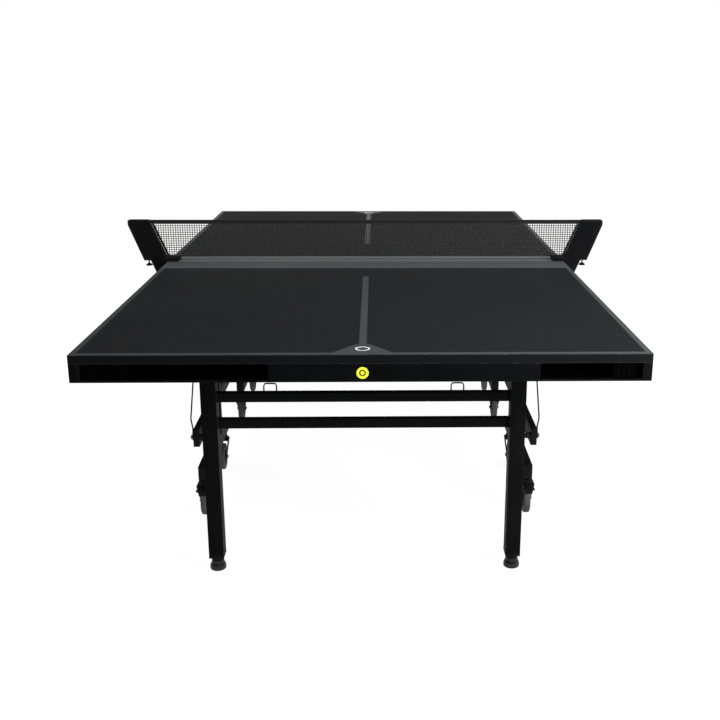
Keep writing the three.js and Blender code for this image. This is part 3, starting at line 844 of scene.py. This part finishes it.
def net_post(side, sx):
    """A slanted casting with a rim round a sunk panel and a ring on both faces, and a clamp jaw."""
    outline = [
        (0.909, NET_TOP), (0.9134, NET_TOP - 0.0012), (0.915, NET_TOP - 0.006),
        (0.915, NET_TOP - 0.015), (0.9141, NET_TOP - 0.0212), (0.861, 0.756), (0.836, 0.756),
        (0.803, 0.677), (0.803, 0.565), (0.7655, 0.565), (0.7655, 0.7606), (POST_FOOT, NET_LOW),
        (0.8320, NET_TOP - 0.0066), (0.8362, NET_TOP),
    ]
    turn = Matrix(((sx, 0, 0, 0), (0, 0, 1, 0), (0, 1, 0, 0), (0, 0, 0, 1)))
    shell = prism(outline, 0.024, turn, 0.0)
    faces = [f for f in shell.faces if abs(f.normal.y) > 0.9]
    bmesh.ops.inset_region(shell, faces=faces, thickness=0.0038, depth=0.0, use_even_offset=True)
    inner = [f for f in shell.faces if abs(f.normal.y) > 0.9 and len(f.verts) == len(outline)]
    bmesh.ops.inset_region(shell, faces=inner, thickness=0.0006, depth=-0.0011, use_even_offset=True)
    round_edges(shell, 0.0009, 2, 1, least=40.0)
    piece = finish_mesh(shell, f"{side}_post_shell", "chassis", [CAST, CAST_EDGE])
    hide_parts(f"{side}_net_post")
    plate = block((sx * 0.720, -0.060, 0.7648), (sx * 0.778, 0.0118, NET_LOW), 0.0024, 3)
    lip = block((sx * 0.7206, -0.0594, 0.7668), (sx * 0.7290, 0.0112, 0.7752), 0.0012)
    finish_mesh(joined(plate, lip), f"{side}_jaw", "chassis", [CAST])
    pad = block((sx * 0.7225, -0.0575, 0.7603), (sx * 0.7635, 0.0093, 0.7650), 0.0010)
    finish_mesh(pad, f"{side}_jaw_pad", "chassis", [RUBBER])
    ring_x, ring_y, ring_z = POST_RING
    profile = [
        (0.0098, 0), (0.0098, 0.0008), (0.0104, 0.0013), (0.0126, 0.0013), (0.0132, 0.0008),
        (0.0132, 0), (0.0098, 0),
    ]
    rings = []
    for face in (-1, 1):
        at = Matrix.Translation((sx * ring_x, face * ring_y, ring_z))
        rings.append(lathe(profile, at @ Matrix.Rotation(-face * math.pi / 2, 4, "X"), 48))
    finish_mesh(joined(*rings), f"{side}_post_ring", "chassis", [CAST])


def height_screw(side, sx):
    """A threaded stem with a dished knob that has small grips round its rim."""
    body = f"{side}_screw"
    place = upright(sx * SCREW_X, 0, 0)
    stem = threaded_stem(place, (0.7445, 0.7870, 0.7880), (0.0030, 0.0026), 0.0010, 20)
    finish_mesh(stem, f"{body}_stem", body, [ZINC])
    knob = [
        (0, 0.7350), (0.0104, 0.7350), (0.0117, 0.7355), (0.0120, 0.7368), (0.0118, 0.7384),
        (0.0104, 0.7406), (0.0076, 0.7426), (0.0046, 0.7442), (0.0040, 0.7455), (0, 0.7455),
    ]
    parts = [lathe(knob, place, 40)]
    for u, v in circle(0.0117, 20):
        grip = block((-0.0007, -0.0007, 0.7358), (0.0007, 0.0007, 0.7386), 0.0003, 1)
        at = Matrix.Translation((sx * SCREW_X + u, v, 0))
        bmesh.ops.transform(grip, matrix=at, verts=grip.verts)
        parts.append(grip)
    piece = finish_mesh(joined(*parts), f"{body}_knob", body, [PLASTIC])
    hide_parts(f"{side}_height_screw")


NET_CELL = 0.0092
NET_ROW = 0.0084
THREAD = 0.00135
POST_GAP = 0.0090
NET_FOOT = 0.7700
JAW_INNER = 0.717
NET_FOOT_HALF = 0.7185


def tube_strip(bm, points, radius, sides=6):
    """Adds a closed thread along points to a bmesh and returns the thread's surface."""
    at = [Vector(p) for p in points]
    along = (at[-1] - at[0]).normalized()
    side = Vector((0, 1, 0))
    up = along.cross(side)
    rings = []
    for point in at:
        ring = []
        for k in range(sides):
            angle = math.pi / sides + 2 * math.pi * k / sides
            offset = side * math.cos(angle) + up * math.sin(angle)
            ring.append(bm.verts.new(point + offset * radius))
        rings.append(ring)
    surface = 0.0
    for low, high in zip(rings, rings[1:]):
        for k in range(sides):
            m = (k + 1) % sides
            surface += bm.faces.new((low[k], low[m], high[m], high[k])).calc_area()
    surface += bm.faces.new(list(reversed(rings[0]))).calc_area()
    surface += bm.faces.new(rings[-1]).calc_area()
    return surface


def netting():
    """Threads both ways, each passing over and under the others. They stop short of the posts."""
    bm = bmesh.new()
    surface = 0.0
    low, high = NET_FOOT, NET_TOP - TAPE + 0.0020
    rows = int((high - low) / NET_ROW)
    heights = [low + 0.0014 + NET_ROW * i for i in range(rows + 1)]
    reach = int((post_inner(high) - POST_GAP) / NET_CELL)
    columns = [NET_CELL * i for i in range(-reach, reach + 1)]
    weave = THREAD * 0.6
    for c, x in enumerate(columns):
        floor = low if abs(x) < JAW_INNER else NET_LOW + 0.0012
        while abs(x) > post_inner(floor) - POST_GAP and floor < high:
            floor += 0.002
        if high - floor < 0.004:
            continue
        marks = [floor] + [z for z in heights if floor + 0.003 < z < high - 0.003] + [high]
        points = []
        for z in marks:
            row = round((z - heights[0]) / NET_ROW)
            points.append((x, weave * (1 if (row + c) % 2 else -1), z))
        surface += tube_strip(bm, points, THREAD)
    for r, z in enumerate(heights):
        if z > high:
            continue
        edge = post_inner(z) - POST_GAP if z > NET_LOW + 0.001 else NET_FOOT_HALF
        points = [(-edge, 0.0, z)]
        for c, x in enumerate(columns):
            if abs(x) < edge - 0.002:
                points.append((x, weave * (-1 if (r + c) % 2 else 1), z))
        points.append((edge, 0.0, z))
        surface += tube_strip(bm, points, THREAD)
    piece = finish_mesh(bm, "netting", "chassis", [CORD])
    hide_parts("net")
    return piece, surface, high - low


TAPE_SAG = 0.0006
TAPE_RIPPLE = 0.00025
STITCH_PITCH = 0.0065
STITCH_HALF = 0.0020


def net_tape():
    """The top band, folded over its cord, with a row of stitches on both faces."""
    top = NET_TOP
    low = NET_TOP - TAPE
    half = post_inner(NET_TOP - 0.006) - 0.0012
    section = [
        (0.0000, top), (0.0016, top - 0.0004), (0.0026, top - 0.0016), (0.0029, top - 0.0032),
        (0.0024, top - 0.0050), (0.0014, top - 0.0064), (0.0012, top - 0.0100), (0.0012, low),
    ]
    outline = section + [(-y, z) for y, z in reversed(section[1:])]
    bm = bmesh.new()
    rings = []
    count = 120
    for i in range(count + 1):
        x = -half + 2 * half * i / count
        ripple = TAPE_RIPPLE * math.sin(i * 1.9) * math.sin(i * 0.37)
        sag = TAPE_SAG * math.sin(math.pi * i / count)
        rings.append([bm.verts.new((x, y + ripple, z - sag)) for y, z in outline])
    for a, b in zip(rings, rings[1:]):
        for k in range(len(outline)):
            m = (k + 1) % len(outline)
            bm.faces.new((a[k], a[m], b[m], b[k]))
    bm.faces.new(list(reversed(rings[0])))
    bm.faces.new(rings[-1])
    tape = finish_mesh(bm, "net_tape_band", "chassis", [BAND_CLOTH])
    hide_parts("net_tape")
    stitches = bmesh.new()
    for i in range(int(2 * half / STITCH_PITCH) - 1):
        x = -half + STITCH_PITCH * (i + 1)
        z = low + 0.0034 - TAPE_SAG * math.sin(math.pi * (x + half) / (2 * half))
        for y in (-0.00135, 0.00135):
            tube_strip(stitches, [(x - STITCH_HALF, y, z), (x + STITCH_HALF, y, z)], 0.00035)
    seam = finish_mesh(stitches, "net_tape_stitches", "chassis", [STITCH])
    return [tape, seam]


def side_bands():
    """The binding down each end of the net, the pale cord beside it, and the hem."""
    made = []
    section = [(0.0032, -0.0012), (0.0032, 0.0012), (0.0120, 0.0009), (0.0120, -0.0009)]
    low, high = NET_LOW + 0.0010, NET_TOP - TAPE
    for side, sx in SIDES:
        bm = bmesh.new()
        rings = []
        for i in range(15):
            z = low + (high - low) * i / 14
            x = post_inner(z)
            rings.append([bm.verts.new((sx * (x - inset), y, z)) for inset, y in section])
        for a, b in zip(rings, rings[1:]):
            for k in range(4):
                m = (k + 1) % 4
                bm.faces.new((a[k], a[m], b[m], b[k]))
        bm.faces.new(rings[0])
        bm.faces.new(list(reversed(rings[-1])))
        made.append(finish_mesh(bm, f"{side}_net_band", "chassis", [BAND_CLOTH]))
        cord_heights = [low + (high - low) * i / 24 for i in range(25)]
        cord = sweep([(sx * (post_inner(z) - 0.0022), 0, z) for z in cord_heights], 0.0011, 10)
        made.append(finish_mesh(cord, f"{side}_net_cord", "chassis", [PALE_CORD]))
    hem = block((-0.7180, -0.0012, 0.7695), (0.7180, 0.0012, 0.7722), 0.0004)
    made.append(finish_mesh(hem, "net_hem", "chassis", [BAND_CLOTH]))
    return made


def net():
    """The posts and the net.

    The netting also gives back its threads' own surface and its height, which nothing here uses.
    The declared area is half of the threads' own surface, and not the area of the net's outline, so
    the measured share is 1 however thick the threads are.
    """
    for side, sx in SIDES:
        net_post(side, sx)
        height_screw(side, sx)
    mesh, surface, height = netting()
    trim = net_tape() + side_bands()


tops()
badge()
legs()
undercarriage()
casters()
net()


# ---------------------------------------------------------------- studio


FLOOR_REACH = 30.0
FLOOR_GLOW = (0.45, 0.94)
SKY_TOP = 2.1
SKY_RISE = (0.50, 0.90)
SIDE_LIGHT = (-0.35, 0.35, 0.0, 0.14)
LOW_GLOW = (0.06, 0.28, 0.26, 0.0)
# name, place, aim, size, watts
SOFT_LIGHTS = (
    ("right_front", (1.7, -2.3, 1.1), (0.35, -1.1, 0.4), (0.8, 0.8), 105),
    ("right_side", (2.6, 0.2, 2.0), (0.2, -0.3, 0.7), (1.4, 1.4), 45),
    ("back_fill", (-0.9, 3.7, 0.9), (0.0, 1.0, 0.4), (2.4, 1.2), 90),
    ("left_fill", (-3.3, 1.2, 0.9), (0.0, 0.1, 0.4), (2.4, 1.2), 70),
)
CAMERA_PLACE = (0.0366, -3.8772, 1.4720)
CAMERA_YAW = 1.469
CAMERA_PITCH = 16.769
CAMERA_ROLL = 0.215
CAMERA_LENS = 50.135
CAMERA_SHIFT = (-0.0571, 0.0147)


def studio_floor():
    """A dark plane that glows nearly white to the camera, and half as much to what it lights."""
    r = FLOOR_REACH
    mesh = bpy.data.meshes.new("studio_floor")
    mesh.from_pydata([(-r, -r, 0), (r, -r, 0), (r, r, 0), (-r, r, 0)], [], [(0, 1, 2, 3)])
    ground = bpy.data.objects.new("studio_floor", mesh)
    SCENE.collection.objects.link(ground)
    s = Shader("studio_floor")
    s.set(Base_Color=(0.08, 0.08, 0.08, 1), Roughness=0.9, Specular_IOR_Level=0.1)
    direct = s.add("ShaderNodeLightPath").outputs["Is Camera Ray"]
    s.set(Emission_Color=(1, 1, 1, 1), Emission_Strength=s.span(direct, 0, 1, *FLOOR_GLOW))
    mesh.materials.append(s.material)


def studio_world():
    """A backdrop that is white to the camera. Its light is from above, and a little from the side."""
    world = bpy.data.worlds.new("studio")
    world.use_nodes = True
    SCENE.world = world
    nodes, links = world.node_tree.nodes, world.node_tree.links

    def ramp(value, limits, smooth=False):
        node = nodes.new("ShaderNodeMapRange")
        if smooth:
            node.interpolation_type = "SMOOTHSTEP"
        for socket, limit in zip(("From Min", "From Max", "To Min", "To Max"), limits):
            node.inputs[socket].default_value = limit
        links.new(value, node.inputs["Value"])
        return node

    soft = nodes["Background"]
    seen = nodes.new("ShaderNodeBackground")
    seen.inputs["Strength"].default_value = 1.0
    for background in (soft, seen):
        background.inputs["Color"].default_value = (1, 1, 1, 1)
    direction = nodes.new("ShaderNodeSeparateXYZ")
    links.new(nodes.new("ShaderNodeTexCoord").outputs["Generated"], direction.inputs[0])
    from_side = ramp(direction.outputs["X"], SIDE_LIGHT)
    from_low = ramp(direction.outputs["Z"], LOW_GLOW, smooth=True)
    base = nodes.new("ShaderNodeMath")
    links.new(from_side.outputs["Result"], base.inputs[0])
    links.new(from_low.outputs["Result"], base.inputs[1])
    sky = ramp(direction.outputs["Z"], (*SKY_RISE, 0.0, SKY_TOP), smooth=True)
    links.new(base.outputs[0], sky.inputs["To Min"])
    links.new(sky.outputs["Result"], soft.inputs["Strength"])
    path = nodes.new("ShaderNodeLightPath")
    mix = nodes.new("ShaderNodeMixShader")
    links.new(path.outputs["Is Camera Ray"], mix.inputs[0])
    links.new(soft.outputs[0], mix.inputs[1])
    links.new(seen.outputs[0], mix.inputs[2])
    links.new(mix.outputs[0], nodes["World Output"].inputs["Surface"])


def soft_light(name, at, aim, size, power):
    data = bpy.data.lights.new(name, "AREA")
    data.shape = "RECTANGLE"
    data.size, data.size_y = size
    data.energy = power
    light = bpy.data.objects.new(name, data)
    light.location = at
    light.visible_camera = False
    light.visible_glossy = False
    light.rotation_mode = "QUATERNION"
    light.rotation_quaternion = (Vector(aim) - Vector(at)).to_track_quat("-Z", "Y")
    SCENE.collection.objects.link(light)


def camera():
    """Looks at the near end from above. Yaw turns it to the right, and pitch turns it down."""
    data = bpy.data.cameras.new("camera")
    eye = bpy.data.objects.new("camera", data)
    SCENE.collection.objects.link(eye)
    yaw, pitch, roll = (math.radians(a) for a in (CAMERA_YAW, CAMERA_PITCH, CAMERA_ROLL))
    ahead = Vector((
        math.sin(yaw) * math.cos(pitch), math.cos(yaw) * math.cos(pitch), -math.sin(pitch),
    ))
    level = Vector((math.cos(yaw), -math.sin(yaw), 0))
    above = level.cross(ahead)
    right = level * math.cos(roll) + above * math.sin(roll)
    top = above * math.cos(roll) - level * math.sin(roll)
    turn = Matrix((right, top, -ahead)).transposed().to_4x4()
    eye.matrix_world = Matrix.Translation(CAMERA_PLACE) @ turn
    data.sensor_width = 36
    data.lens = CAMERA_LENS
    data.shift_x, data.shift_y = CAMERA_SHIFT
    data.clip_start, data.clip_end = 0.05, 200
    SCENE.camera = eye


studio_floor()
studio_world()
for light_facts in SOFT_LIGHTS:
    soft_light(*light_facts)
camera()
SCENE.view_settings.view_transform = "Standard"
